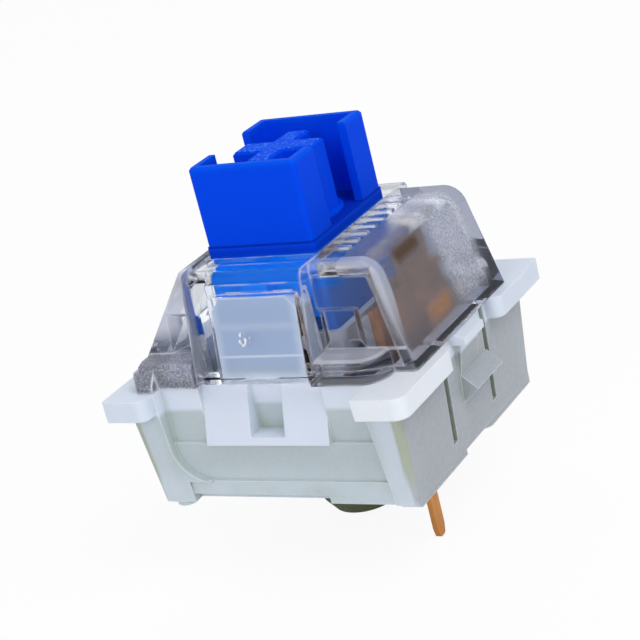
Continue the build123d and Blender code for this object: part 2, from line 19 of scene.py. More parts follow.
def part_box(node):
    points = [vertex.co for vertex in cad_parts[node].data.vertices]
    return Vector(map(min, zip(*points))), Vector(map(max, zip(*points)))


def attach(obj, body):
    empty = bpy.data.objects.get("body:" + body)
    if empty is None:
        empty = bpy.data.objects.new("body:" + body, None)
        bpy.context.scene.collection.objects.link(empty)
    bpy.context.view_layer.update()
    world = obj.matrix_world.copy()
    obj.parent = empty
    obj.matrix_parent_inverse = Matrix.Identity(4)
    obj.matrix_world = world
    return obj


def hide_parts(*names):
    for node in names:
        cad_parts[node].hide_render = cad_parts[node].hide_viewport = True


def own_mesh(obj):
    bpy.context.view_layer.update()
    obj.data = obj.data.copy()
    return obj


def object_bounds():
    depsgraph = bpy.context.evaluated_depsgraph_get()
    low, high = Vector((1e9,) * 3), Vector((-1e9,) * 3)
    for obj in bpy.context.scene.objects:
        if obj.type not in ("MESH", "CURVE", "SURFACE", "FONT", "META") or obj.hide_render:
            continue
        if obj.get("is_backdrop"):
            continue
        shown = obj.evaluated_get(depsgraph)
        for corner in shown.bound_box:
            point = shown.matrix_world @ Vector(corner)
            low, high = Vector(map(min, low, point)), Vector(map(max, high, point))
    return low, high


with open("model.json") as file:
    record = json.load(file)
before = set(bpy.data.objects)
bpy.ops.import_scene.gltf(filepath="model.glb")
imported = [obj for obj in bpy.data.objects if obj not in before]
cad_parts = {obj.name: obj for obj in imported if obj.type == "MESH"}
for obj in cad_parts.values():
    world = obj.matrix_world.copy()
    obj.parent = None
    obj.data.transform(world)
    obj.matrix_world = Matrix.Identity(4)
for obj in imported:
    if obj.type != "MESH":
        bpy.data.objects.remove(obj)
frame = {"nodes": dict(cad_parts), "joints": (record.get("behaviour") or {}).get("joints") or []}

LOG = logging.getLogger("key_switch")
MM = 0.001
WHITE = (1.0, 1.0, 1.0)
Number = float
Colour = tuple[float, float, float]
Pair = tuple[Number, Number]
# Where a mask is 0 and where it is 1, and then, in a mask with two sides, where it is still 1 and 0 again.
Ends = tuple[Number, ...]


class Body(Enum):
    """The rigid body that carries what this file adds."""

    HOUSING = "housing"


class Maths(Enum):
    """The Math operations that the finishes use."""

    ADD = "ADD"
    SUBTRACT = "SUBTRACT"
    MULTIPLY = "MULTIPLY"
    DIVIDE = "DIVIDE"
    POWER = "POWER"
    MINIMUM = "MINIMUM"
    MAXIMUM = "MAXIMUM"
    ABSOLUTE = "ABSOLUTE"


class Signal:
    """A shader output whose sums, products and powers add the Math nodes that work them out."""

    def __init__(self, graph: "Graph", socket: bpy.types.NodeSocket) -> None:
        """Wraps one output socket of a graph."""
        self.graph = graph
        self.socket = socket

    def _with(self, operation: Maths, *values: "Signal | Number") -> "Signal":
        """Adds one Math node over the given values."""
        return self.graph.maths(operation, *values)

    def __add__(self, other: "Signal | Number") -> "Signal":
        """Sum."""
        return self._with(Maths.ADD, self, other)

    def __radd__(self, other: Number) -> "Signal":
        """Sum with the number first."""
        return self._with(Maths.ADD, other, self)

    def __sub__(self, other: "Signal | Number") -> "Signal":
        """Difference."""
        return self._with(Maths.SUBTRACT, self, other)

    def __rsub__(self, other: Number) -> "Signal":
        """Difference with the number first."""
        return self._with(Maths.SUBTRACT, other, self)

    def __mul__(self, other: "Signal | Number") -> "Signal":
        """Product."""
        return self._with(Maths.MULTIPLY, self, other)

    def __rmul__(self, other: Number) -> "Signal":
        """Product with the number first."""
        return self._with(Maths.MULTIPLY, other, self)

    def __truediv__(self, other: "Signal | Number") -> "Signal":
        """Quotient."""
        return self._with(Maths.DIVIDE, self, other)

    def __pow__(self, other: Number) -> "Signal":
        """Power."""
        return self._with(Maths.POWER, self, other)

    def __abs__(self) -> "Signal":
        """Size without sign."""
        return self._with(Maths.ABSOLUTE, self)

    def at_least(self, other: "Signal | Number") -> "Signal":
        """The larger of the two."""
        return self._with(Maths.MAXIMUM, self, other)

    def at_most(self, other: "Signal | Number") -> "Signal":
        """The smaller of the two."""
        return self._with(Maths.MINIMUM, self, other)

    def step(self, start: Number, end: Number) -> "Signal":
        """A smooth change from 0 to 1.

        Args:
            start: The value where the result is 0.
            end: The value where it is 1, above or below start.

        Returns:
            The change, held at 0 and 1 beyond its ends.
        """
        low, high = min(start, end), max(start, end)
        first, last = (0.0, 1.0) if start < end else (1.0, 0.0)
        settings = {"interpolation_type": "SMOOTHSTEP"}
        inputs = {"Value": self, "From Min": low, "From Max": high, "To Min": first, "To Max": last}
        return self.graph.out("ShaderNodeMapRange", settings, inputs, "Result")

    def over(self, ends: Ends) -> "Signal":
        """A smooth change from 0 to 1 and, where there are four ends, back to 0."""
        rise = self.step(ends[0], ends[1])
        return rise * self.step(ends[3], ends[2]) if len(ends) == 4 else rise


class Graph:
    """The node tree of one material or world."""

    # How shaded a point is where a hollow's mask starts and is full.
    hollow_shade: Ends = (0.25, 0.85)
    # The cosine of the turn from a face to its rounded edge, where an edge's mask starts and is full.
    edge_turn: Ends = (0.99, 0.8)

    def __init__(self, tree: bpy.types.NodeTree) -> None:
        """Empties the node tree that it will fill."""
        self.tree = tree
        tree.nodes.clear()

    def node(self, kind: str, settings: dict | None = None, inputs: dict | None = None) -> bpy.types.Node:
        """Adds a node.

        Args:
            kind: The node's type name.
            settings: Its properties, set before its sockets.
            inputs: Values or signals by socket name or number.

        Returns:
            The new node.
        """
        made = self.tree.nodes.new(kind)
        for name, value in (settings or {}).items():
            setattr(made, name, value)
        for name, value in (inputs or {}).items():
            socket = made.inputs[name] if isinstance(name, int) else self._named(made.inputs, name)
            if isinstance(value, Signal):
                self.tree.links.new(value.socket, socket)
            elif socket.type == "RGBA":
                socket.default_value = (*value, 1.0)
            else:
                socket.default_value = value
        return made

    @staticmethod
    def _named(sockets: bpy.types.bpy_prop_collection, name: str) -> bpy.types.NodeSocket:
        """The socket of that name that is in use."""
        return next(socket for socket in sockets if socket.name == name and socket.enabled)

    def out(self, kind: str, settings: dict | None, inputs: dict | None, name: str) -> Signal:
        """Adds a node, as the node method does, and wraps its output of the given name."""
        made = self.node(kind, settings, inputs)
        return Signal(self, self._named(made.outputs, name))

    def maths(self, operation: Maths, *values: Signal | Number) -> Signal:
        """Adds a Math node."""
        return self.out("ShaderNodeMath", {"operation": operation.value}, dict(enumerate(values)), "Value")

    def mix(self, share: Signal | Number, first: Signal | Colour, second: Signal | Colour) -> Signal:
        """A colour that goes from the first to the second as the share goes from 0 to 1."""
        inputs = {"Factor": share, "A": first, "B": second}
        return self.out("ShaderNodeMix", {"data_type": "RGBA"}, inputs, "Result")

    def place(self) -> Signal:
        """The point's place in the frame's own axes."""
        return self.out("ShaderNodeTexCoord", None, None, "Object")

    def axes_mm(self, place: Signal) -> tuple[Signal, Signal, Signal]:
        """A place's three parts, in millimetres."""
        made = self.node("ShaderNodeSeparateXYZ", None, {"Vector": place})
        return tuple(Signal(self, socket) / MM for socket in made.outputs)

    def noise(self, place: Signal, size_mm: Number, detail: Number = 2.0) -> Signal:
        """Noise whose grains are about the given size, from 0 to 1."""
        inputs = {"Vector": place, "Scale": 1.0 / (size_mm * MM), "Detail": detail}
        return self.out("ShaderNodeTexNoise", None, inputs, "Fac")

    def hollows(self, reach_mm: Number) -> Signal:
        """0 in the open and 1 deep in a hollow.

        Args:
            reach_mm: How near the facing walls have to be.

        Returns:
            The depth of the hollow.
        """
        settings = {"samples": 8, "only_local": True}
        open_air = self.out("ShaderNodeAmbientOcclusion", settings, {"Distance": reach_mm * MM}, "AO")
        return (1 - open_air).over(self.hollow_shade)

    def edges(self, reach_mm: Number) -> Signal:
        """0 on flat faces and 1 along the edges between them.

        Args:
            reach_mm: How far from the edge it reaches.

        Returns:
            The nearness of an edge.
        """
        rounded = self.out("ShaderNodeBevel", {"samples": 8}, {"Radius": reach_mm * MM}, "Normal")
        flat = self.out("ShaderNodeNewGeometry", None, None, "Normal")
        settings = {"operation": "DOT_PRODUCT"}
        same = self.out("ShaderNodeVectorMath", settings, {0: rounded, 1: flat}, "Value")
        return same.over(self.edge_turn)

    @staticmethod
    def between(share: Signal, first: Number, second: Number) -> Signal:
        """A value that goes from the first to the second as the share goes from 0 to 1."""
        return first + (second - first) * share

    def grain(self, height: Signal, depth_mm: Number, edge_mm: Number) -> Signal:
        """A bumped normal over softly rounded edges.

        Args:
            height: The relief, from 0 to 1.
            depth_mm: The depth of the relief.
            edge_mm: The radius that the edges look rounded to.

        Returns:
            The normal.
        """
        rounded = self.out("ShaderNodeBevel", {"samples": 6}, {"Radius": edge_mm * MM}, "Normal")
        inputs = {"Height": height, "Distance": depth_mm * MM, "Strength": 1.0, "Normal": rounded}
        return self.out("ShaderNodeBump", None, inputs, "Normal")

    def principled(self, inputs: dict) -> Signal:
        """Adds a Principled shader."""
        return self.out("ShaderNodeBsdfPrincipled", None, inputs, "BSDF")

    def close(self, shader: Signal) -> None:
        """Ends a material with its shader."""
        self.node("ShaderNodeOutputMaterial", None, {"Surface": shader})

    def blend(self, share: Signal, first: Signal, second: Signal) -> Signal:
        """A shader that goes from the first to the second as the share goes from 0 to 1."""
        return self.out("ShaderNodeMixShader", None, {0: share, 1: first, 2: second}, "Shader")


def new_material(name: str) -> tuple[bpy.types.Material, Graph]:
    """An empty material.

    Args:
        name: The material's name.

    Returns:
        The material and its graph.
    """
    material = bpy.data.materials.new(name)
    material.use_nodes = True
    return material, Graph(material.node_tree)


def distance(first: Signal, second: Signal) -> Signal:
    """How far a point is from an axis, from its two places across it."""
    return (first ** 2.0 + second ** 2.0) ** 0.5


@dataclass(frozen=True)
class Patch:
    """A zone of a surface, bounded along one axis or more."""

    x_mm: Ends = ()
    y_mm: Ends = ()
    z_mm: Ends = ()

    def mask(self, *place: Signal) -> Signal:
        """1 inside the zone and 0 outside, from the point's x, y and z, unsigned where it is mirrored."""
        bounds = zip(place, (self.x_mm, self.y_mm, self.z_mm))
        return reduce(operator.mul, [axis.over(ends) for axis, ends in bounds if ends])


@dataclass(frozen=True)
class MilkyPlastic:
    """The lower housing's milky nylon: lavender white where thick, greyer and greener where thin, that grey
    partly painted shade under the flange.
    """

    # Colours, and how much of each shows.
    thick: Colour = (0.73, 0.79, 0.91)
    # The thin walls' grey is partly the nylon's own and partly painted shade under the flange.
    thin: Colour = (0.50, 0.575, 0.60)
    thin_low: Colour = (0.66, 0.74, 0.80)
    contact_wall: Colour = (0.41, 0.44, 0.47)
    tower: Colour = (0.37, 0.46, 0.64)
    tower_low: Colour = (0.38, 0.45, 0.54)
    # Painted highlight along the towers' steps and side edges.
    step_highlight: Colour = (0.62, 0.68, 0.78)
    # Painted shade: the olive green that darkens deep hollows.
    hollow: Colour = (0.30, 0.36, 0.19)
    # Painted shadow: the dark olive of the post under the body.
    post_shadow: Colour = (0.12, 0.135, 0.065)
    # Painted shade: a green-grey stripe along the body's vertical corners.
    corner: Colour = (0.42, 0.47, 0.34)
    # Painted highlight: the pale colour of the edges, also laid on the flange top beside the clear housing.
    edge: Colour = (0.90, 0.93, 0.98)
    low_share: Number = 0.6
    mottle_share: Number = 0.1
    painted_light_share: Number = 0.7
    corner_shade_share: Number = 0.8
    hollow_shade_share: Number = 0.72
    edge_highlight_share: Number = 0.75
    high_line_share: Number = 0.35
    tower_edge_share: Number = 0.6
    post_corner_shares: Pair = (0.25, 0.55)
    cloud_shares: Pair = (0.85, 1.0)
    thick_on_contact_wall: Number = 0.1
    hollow_shade_on_ramp: Number = 0.3
    # The surface, and the sizes of its grains.
    roughness: Pair = (0.38, 0.48)
    ior: Number = 1.5
    gloss: Number = 0.3
    subsurface: Number = 0.25
    subsurface_radius: Colour = (1.0, 1.1, 1.0)
    subsurface_mm: Number = 0.4
    cloud_mm: Number = 3.0
    mottle_mm: Number = 0.22
    grain_mm: Number = 0.12
    grain_deep_mm: Number = 0.005
    hollow_reach_mm: Number = 1.1
    edge_reach_mm: Number = 0.09
    edge_mm: Number = 0.05
    low_cloud: Ends = (0.3, 0.6)
    mottle: Ends = (0.4, 0.65)
    # Where the zones lie.
    flange_z_mm: Ends = (4.75, 5.05)
    painted_light_at: Patch = Patch(x_mm=(0.0, 4.0), y_mm=(4.5, 5.5))
    ramp_at: Patch = Patch(x_mm=(5.6, 5.7), y_mm=(-3.4, -3.3, 3.05, 3.15), z_mm=(3.2, 3.4))
    post_corner_at: Patch = Patch(x_mm=(5.0, 6.2), y_mm=(5.2, 6.0))
    contact_half_y_mm: Ends = (-1.0, 1.0)
    contact_wall_at: Patch = Patch(y_mm=(6.45, 6.65), z_mm=(5.0, 4.8))
    low_z_mm: Ends = (2.6, 0.9)
    corner_z_mm: Ends = (0.8, 2.5, 4.9, 5.0)
    corner_mm: Number = 13.3
    corner_lean: Number = 0.149
    corner_near_mm: Ends = (-0.5, -0.3)
    hollow_z_mm: Ends = (6.4, 5.6)
    tower_z_mm: Ends = (6.0, 6.6)
    tower_low_z_mm: Ends = (7.15, 6.2)
    tower_edge_y_mm: Ends = (1.7, 2.2)
    low_line_mm: Number = 7.15
    low_line_near_mm: Ends = (0.09, 0.02)
    high_line_mm: Number = 8.5
    high_line_near_mm: Ends = (0.3, 0.0)
    post_r_mm: Ends = (2.2, 2.1)
    post_z_mm: Ends = (0.28, 0.1)

    def material(self) -> bpy.types.Material:
        """Builds the finish.

        Returns:
            The material.
        """
        material, graph = new_material("milky_plastic")
        place = graph.place()
        x, y, z = graph.axes_mm(place)
        flange = z.over(self.flange_z_mm)
        # The ramps share the flange's pale colour, partly a painted highlight on their up-facing faces.
        ramp = self.ramp_at.mask(abs(x), y, z)
        colour = self.walls(graph, place, flange.at_least(ramp))
        # Painted light: the flange top beside the clear housing, which shades it, is lifted toward the pale
        # edge colour.
        painted_flange_light = flange * self.painted_light_at.mask(x, y, z)
        colour = graph.mix(painted_flange_light * self.painted_light_share, colour, self.edge)
        colour = graph.mix(z.over(self.tower_z_mm), colour, self.towers(graph, y, z))
        # Painted shade: a green-grey stripe along the body's vertical corners, between the foot and the
        # flange.
        past = abs(x) + abs(y) - (self.corner_mm + self.corner_lean * z)
        corner = past.over(self.corner_near_mm) * z.over(self.corner_z_mm)
        colour = graph.mix(corner * self.corner_shade_share, colour, self.corner)
        # Painted shade: deep in hollows, low on the housing, the colour darkens toward olive green, less on
        # the ramps.
        depth = graph.hollows(self.hollow_reach_mm) * z.over(self.hollow_z_mm)
        depth = depth * (1 - ramp * (1 - self.hollow_shade_on_ramp))
        colour = graph.mix(depth * self.hollow_shade_share, colour, self.hollow)
        # Painted highlights along the edges.
        colour = graph.mix(graph.edges(self.edge_reach_mm) * self.edge_highlight_share, colour, self.edge)
        # Painted shadow: the post under the body turns dark olive.
        post_shadow = distance(x, y).over(self.post_r_mm) * z.over(self.post_z_mm)
        fine = graph.noise(place, self.grain_mm)
        graph.close(graph.principled({
            "Base Color": graph.mix(post_shadow, colour, self.post_shadow),
            "Roughness": graph.between(fine, *self.roughness),
            "Subsurface Weight": self.subsurface,
            "Subsurface Radius": self.subsurface_radius,
            "Subsurface Scale": self.subsurface_mm * MM,
            "IOR": self.ior,
            "Specular IOR Level": self.gloss,
            "Normal": graph.grain(fine, self.grain_deep_mm, self.edge_mm),
        }))
        return material

    def walls(self, graph: Graph, place: Signal, solid: Signal) -> Signal:
        """The thin walls, with the thick flange, ramps and corner posts; the ramps' pale colour is partly a
        painted highlight where they catch light from above.

        Args:
            graph: The material's graph.
            place: The point.
            solid: 1 on the flange and the ramps.

        Returns:
            The colour.
        """
        x, y, z = graph.axes_mm(place)
        cloud = graph.noise(place, self.cloud_mm, detail=3.0)
        contact_half = y.over(self.contact_half_y_mm)
        posts = self.post_corner_at.mask(abs(x), abs(y), z)
        posts = posts * graph.between(contact_half, *self.post_corner_shares)
        thick = solid.at_least(posts) * graph.between(cloud, *self.cloud_shares)
        contact_wall = self.contact_wall_at.mask(x, abs(y), z)
        low = z.over(self.low_z_mm) * cloud.over(self.low_cloud)
        wall = graph.mix(low * self.low_share, self.thin, self.thin_low)
        wall = graph.mix(contact_wall, wall, self.contact_wall)
        mottle = graph.noise(place, self.mottle_mm, detail=3.0).over(self.mottle)
        wall = graph.mix(mottle * self.mottle_share, wall, self.thin_low)
        return graph.mix(thick * (1 - contact_wall * (1 - self.thick_on_contact_wall)), wall, self.thick)

    def towers(self, graph: Graph, y: Signal, z: Signal) -> Signal:
        """The guide towers, with painted highlights along their side edges and at their steps.

        Args:
            graph: The material's graph.
            y: The point's y in millimetres.
            z: Its z.

        Returns:
            The colour.
        """
        tower = graph.mix(z.over(self.tower_low_z_mm), self.tower, self.tower_low)
        # Painted highlights: thin lines along the steps and bands along the side edges.
        low_line = abs(z - self.low_line_mm).over(self.low_line_near_mm)
        high_line = abs(z - self.high_line_mm).over(self.high_line_near_mm) * self.high_line_share
        side = abs(y).over(self.tower_edge_y_mm) * self.tower_edge_share
        return graph.mix(low_line.at_least(high_line).at_least(side), tower, self.step_highlight)


@dataclass(frozen=True)
class ClearZones:
    """Masks over the upper housing, each 1 inside its zone and 0 outside."""

    # The collar, the strip of roof beside it, and the far wall above its toes.
    clean: Signal
    # The -X end, painted dark for the dark surroundings seen through it, faint on the collar.
    west_painted_dark: Signal
    # The contact wall, and its -X part, which is more frosted and has painted glints.
    panel: Signal
    glare: Signal
    # The +X edge of the contact wall and the roof, which gets a painted highlight band.
    rim: Signal
    # The contact side's +X foot, with a painted highlight line along its top edge and a paler base, and the
    # far side's toes, with painted glints.
    foot: Signal
    toe: Signal
    # The far wall's +X corner above the toe, and the collar's face next to it.
    flank: Signal
    side: Signal
    # Two spots where copper shows through the contact wall: the high one painted dark, as copper in shade
    # under the roof, and the low one orange.
    brown: Signal
    orange: Signal
    # The mark that the moulding gate left on the collar's +X face.
    gate: Signal


@dataclass(frozen=True)
class ClearMap:
    """Where the upper housing's zones lie. The skin lengths are depths under its contact wall and roof."""

    seam_mm: Number = 6.0
    roof_mm: Number = 11.1
    contact_mm: Number = 7.3
    contact_lean: Number = 0.2176
    end_mm: Number = 5.0
    end_lean: Number = 0.049
    wall_skin_mm: Ends = (-0.6, -0.45)
    collar_y_mm: Ends = (-3.28, -3.22, 2.97, 3.03)
    ribs_at: Patch = Patch(y_mm=(2.95, 3.05, 4.35, 4.45), z_mm=(9.8, 10.2))
    beyond_at: Patch = Patch(y_mm=(-3.2, -3.3), z_mm=(7.2, 8.4))
    panel_at: Patch = Patch(x_mm=(-4.3, -3.3), y_mm=(4.35, 4.5), z_mm=(6.3, 7.2))
    glare_x_mm: Ends = (0.2, -1.2)
    west_x_mm: Ends = (-3.3, -3.8)
    west_on_collar: Number = 0.15
    rim_wide_mm: Pair = (0.25, 0.65)
    rim_wide_z_mm: Ends = (7.5, 9.8)
    rim_near_mm: Ends = (-0.15, 0.1)
    rim_skin_mm: Ends = (-0.4, -0.2)
    rim_z_mm: Ends = (6.1, 9.8)
    foot_at: Patch = Patch(x_mm=(4.85, 4.95), y_mm=(3.0, 3.1))
    foot_line_z_mm: Ends = (6.99, 7.07, 7.16, 7.24)
    foot_base_z_mm: Ends = (6.5, 6.3)
    foot_base_share: Number = 0.5
    toe_at: Patch = Patch(y_mm=(-3.25, -3.45), z_mm=(7.25, 7.15))
    flank_at: Patch = Patch(x_mm=(4.3, 4.6), y_mm=(-3.3, -3.45), z_mm=(7.15, 8.55))
    side_at: Patch = Patch(x_mm=(4.9, 5.2), y_mm=(-3.45, -3.25, -2.85, -2.65))
    brown_skin_mm: Ends = (-0.9, -0.7)
    brown_at: Patch = Patch(x_mm=(0.0, 1.0, 2.6, 3.6), z_mm=(9.6, 10.4, 10.5, 11.3))
    orange_at: Patch = Patch(x_mm=(-0.4, 0.4, 1.9, 2.7), z_mm=(6.65, 7.25, 7.55, 8.15))
    gate_x_mm: Ends = (5.5, 5.6)
    gate_mm: Pair = (-0.35, 8.2)
    gate_r_mm: Ends = (0.38, 0.33)

    def zones(self, graph: Graph, place: Signal) -> ClearZones:
        """Finds the zones.

        Args:
            graph: The material's graph.
            place: The point.

        Returns:
            The zones.
        """
        x, y, z = graph.axes_mm(place)
        from_wall = y + (z - self.seam_mm) * self.contact_lean - self.contact_mm
        skin = from_wall.at_least(z - self.roof_mm)
        wall = skin.over(self.wall_skin_mm)
        panel = wall * self.panel_at.mask(x, y, z)
        collar = y.over(self.collar_y_mm)
        clean = collar.at_least(self.ribs_at.mask(x, y, z)).at_least(self.beyond_at.mask(x, y, z))
        from_end = x + (z - self.seam_mm) * self.end_lean - self.end_mm
        rim = from_end + graph.between(z.over(self.rim_wide_z_mm), *self.rim_wide_mm)
        rim = rim.over(self.rim_near_mm) * skin.over(self.rim_skin_mm) * (1 - collar)
        foot = z.over(self.foot_line_z_mm) + z.over(self.foot_base_z_mm) * self.foot_base_share
        gate_y, gate_z = self.gate_mm
        gate = distance(y - gate_y, z - gate_z).over(self.gate_r_mm)
        return ClearZones(
            clean=clean,
            west_painted_dark=x.over(self.west_x_mm) * (1 - collar * (1 - self.west_on_collar)),
            panel=panel,
            glare=panel * x.over(self.glare_x_mm),
            rim=rim * z.over(self.rim_z_mm),
            foot=foot * self.foot_at.mask(x, y, z),
            toe=self.toe_at.mask(x, y, z),
            flank=self.flank_at.mask(x, y, z),
            side=self.side_at.mask(x, y, z),
            brown=skin.over(self.brown_skin_mm) * self.brown_at.mask(x, y, z),
            orange=wall * self.orange_at.mask(x, y, z),
            gate=gate * x.over(self.gate_x_mm),
        )


@dataclass(frozen=True)
class ClearPlastic:
    """The upper housing's clear polycarbonate: clean at the collar and smoky and frosted beside it."""

    # Colours, and how much of each shows.
    clean: Colour = (0.94, 0.96, 0.99)
    smoky: Colour = (0.62, 0.64, 0.72)
    # Painted darkness: the tint standing in for dark surroundings seen through the -X end.
    west_painted_dark: Colour = (0.40, 0.43, 0.53)
    amber: Colour = (0.76, 0.70, 0.66)
    # Painted shade: the dark brown tint of the high spot, copper in shade under the roof.
    brown: Colour = (0.30, 0.17, 0.08)
    haze: Colour = (0.34, 0.36, 0.44)
    # Painted highlight: the pale colour of glints in the frost, of edges, of the foot's top line and of the
    # flank.
    painted_highlight: Colour = (0.84, 0.86, 0.96)
    # Painted highlight: the pale band along the rounded +X edge.
    rim: Colour = (0.66, 0.71, 0.86)
    mark: Colour = (0.92, 0.95, 1.0)
    # Painted shade: the cloudy colour of the high copper spot in shade.
    copper_in_shade: Colour = (0.075, 0.042, 0.018)
    orange: Colour = (0.56, 0.24, 0.06)
    side_tint_share: Number = 0.8
    brown_tint_share: Number = 0.85
    haze_share: Number = 0.07
    frost_shares: Pair = (0.12, 0.28)
    rim_highlight_share: Number = 0.30
    toe_share: Number = 0.42
    foot_share: Number = 0.34
    edge_highlight_share: Number = 0.42
    edge_on_west: Number = 0.3
    flank_share: Number = 0.62
    side_share: Number = 0.30
    brown_share: Number = 0.45
    orange_share: Number = 0.3
    orange_grains: Pair = (0.5, 1.0)
    gate_share: Number = 0.1
    fleck_share: Number = 0.7
    most_share: Number = 0.9
    toe_speckle: Number = 0.8
    # The surface, and the sizes of its grains.
    polish: Number = 0.03
    panel_rough: Number = 0.065
    glare_rough: Number = 0.195
    gate_rough: Number = 0.2
    toe_rough: Number = 0.1
    cloudy_rough: Number = 0.4
    ior: Number = 1.2
    panel_relief: Number = 0.8
    toe_relief: Number = 0.5
    wave_relief: Number = 0.2
    gate_relief: Number = 2.5
    relief_mm: Number = 0.03
    grain_mm: Number = 0.095
    swirl_mm: Number = 0.2
    wave_mm: Number = 1.6
    edge_patch_mm: Number = 1.5
    edge_reach_mm: Number = 0.3
    edge_mm: Number = 0.08
    edge_patches: Ends = (0.25, 0.6)
    glare_grains: Ends = (0.40, 0.60)
    toe_grains: Ends = (0.4, 0.7)
    copper_grains: Ends = (0.35, 0.6)
    gate_flecks: Ends = (0.5, 0.56)
    layout: ClearMap = ClearMap()

    def material(self) -> bpy.types.Material:
        """Builds the finish: clear glass blended with cloudy plastic.

        Returns:
            The material.
        """
        material, graph = new_material("clear_plastic")
        place = graph.place()
        zones = self.layout.zones(graph, place)
        grains = graph.noise(place, self.grain_mm, detail=3.0)
        normal = self.relief(graph, place, zones, grains)
        # Painted highlights along the edges, in patches, fainter at the -X end.
        edges = graph.edges(self.edge_reach_mm) * (1 - zones.west_painted_dark * (1 - self.edge_on_west))
        edges = edges * graph.noise(place, self.edge_patch_mm, detail=1.0).over(self.edge_patches)
        orange = zones.orange * graph.between(grains.over(self.copper_grains), *self.orange_grains)
        flecks = zones.gate * graph.noise(place, self.swirl_mm).over(self.gate_flecks)
        # Painted highlights: glints in the frost of the glare and the toes, the foot's line, the edges and
        # the flank.
        bright = zones.glare * grains.over(self.glare_grains)
        bright = bright + zones.toe * grains.over(self.toe_grains) * self.toe_speckle
        bright = (bright + zones.foot + edges + zones.flank).at_most(1.0)
        # The +X rim takes a painted highlight band.
        colour = graph.mix(zones.rim, graph.mix(bright, self.haze, self.painted_highlight), self.rim)
        # The high copper spot is painted dark as if in shade, and the low one is orange copper.
        colour = graph.mix(orange, graph.mix(zones.brown, colour, self.copper_in_shade), self.orange)
        colour = graph.mix(flecks, colour, self.mark)
        cloudy = graph.principled({"Base Color": colour, "Roughness": self.cloudy_rough, "Normal": normal})
        share = self.cloudy_share(zones) + self.edge_highlight_share * edges
        share = share + self.orange_share * orange + self.fleck_share * flecks
        glass = self.glass(graph, zones, normal)
        graph.close(graph.blend(share.at_most(self.most_share), glass, cloudy))
        return material

    def relief(self, graph: Graph, place: Signal, zones: ClearZones, grains: Signal) -> Signal:
        """Fine grain on the contact side and the toes, long waves, and a swirl at the gate.

        Args:
            graph: The material's graph.
            place: The point.
            zones: The housing's zones.
            grains: The grain's noise.

        Returns:
            The normal.
        """
        height = grains * (zones.panel * self.panel_relief + zones.toe * self.toe_relief)
        height = height + graph.noise(place, self.wave_mm, detail=1.0) * self.wave_relief
        height = height + zones.gate * graph.noise(place, self.swirl_mm) * self.gate_relief
        return graph.grain(height, self.relief_mm, self.edge_mm)

    def glass(self, graph: Graph, zones: ClearZones, normal: Signal) -> Signal:
        """The tinted glass.

        Args:
            graph: The material's graph.
            zones: The housing's zones.
            normal: The bumped normal.

        Returns:
            The shader.
        """
        tint = graph.mix(zones.clean, self.smoky, self.clean)
        tint = graph.mix(zones.panel * (1 - zones.glare), tint, self.amber)
        # The -X end and, in part, the collar's far +X edge take the painted dark tint.
        tint = graph.mix(zones.west_painted_dark.at_least(zones.side * self.side_tint_share), tint, self.west_painted_dark)
        tint = graph.mix(zones.brown * self.brown_tint_share, tint, self.brown)
        rough = self.polish + self.panel_rough * zones.panel + self.glare_rough * zones.glare
        return graph.principled({
            "Base Color": tint,
            "Roughness": rough + self.gate_rough * zones.gate + self.toe_rough * zones.toe,
            "Transmission Weight": 1.0,
            "IOR": self.ior,
            "Normal": normal,
        })

    def cloudy_share(self, zones: ClearZones) -> Signal:
        """How cloudy the zones are.

        Args:
            zones: The housing's zones.

        Returns:
            The share, without the edges, the orange spot and the gate's flecks.
        """
        on_panel, on_glare = self.frost_shares
        return self.haze_share * (1 - zones.clean) + reduce(operator.add, (
            self.rim_highlight_share * zones.rim,
            self.gate_share * zones.gate,
            self.toe_share * zones.toe,
            self.foot_share * zones.foot,
            self.flank_share * zones.flank,
            self.side_share * zones.side,
            self.brown_share * zones.brown,
            on_panel * zones.panel,
            on_glare * zones.glare,
        ))


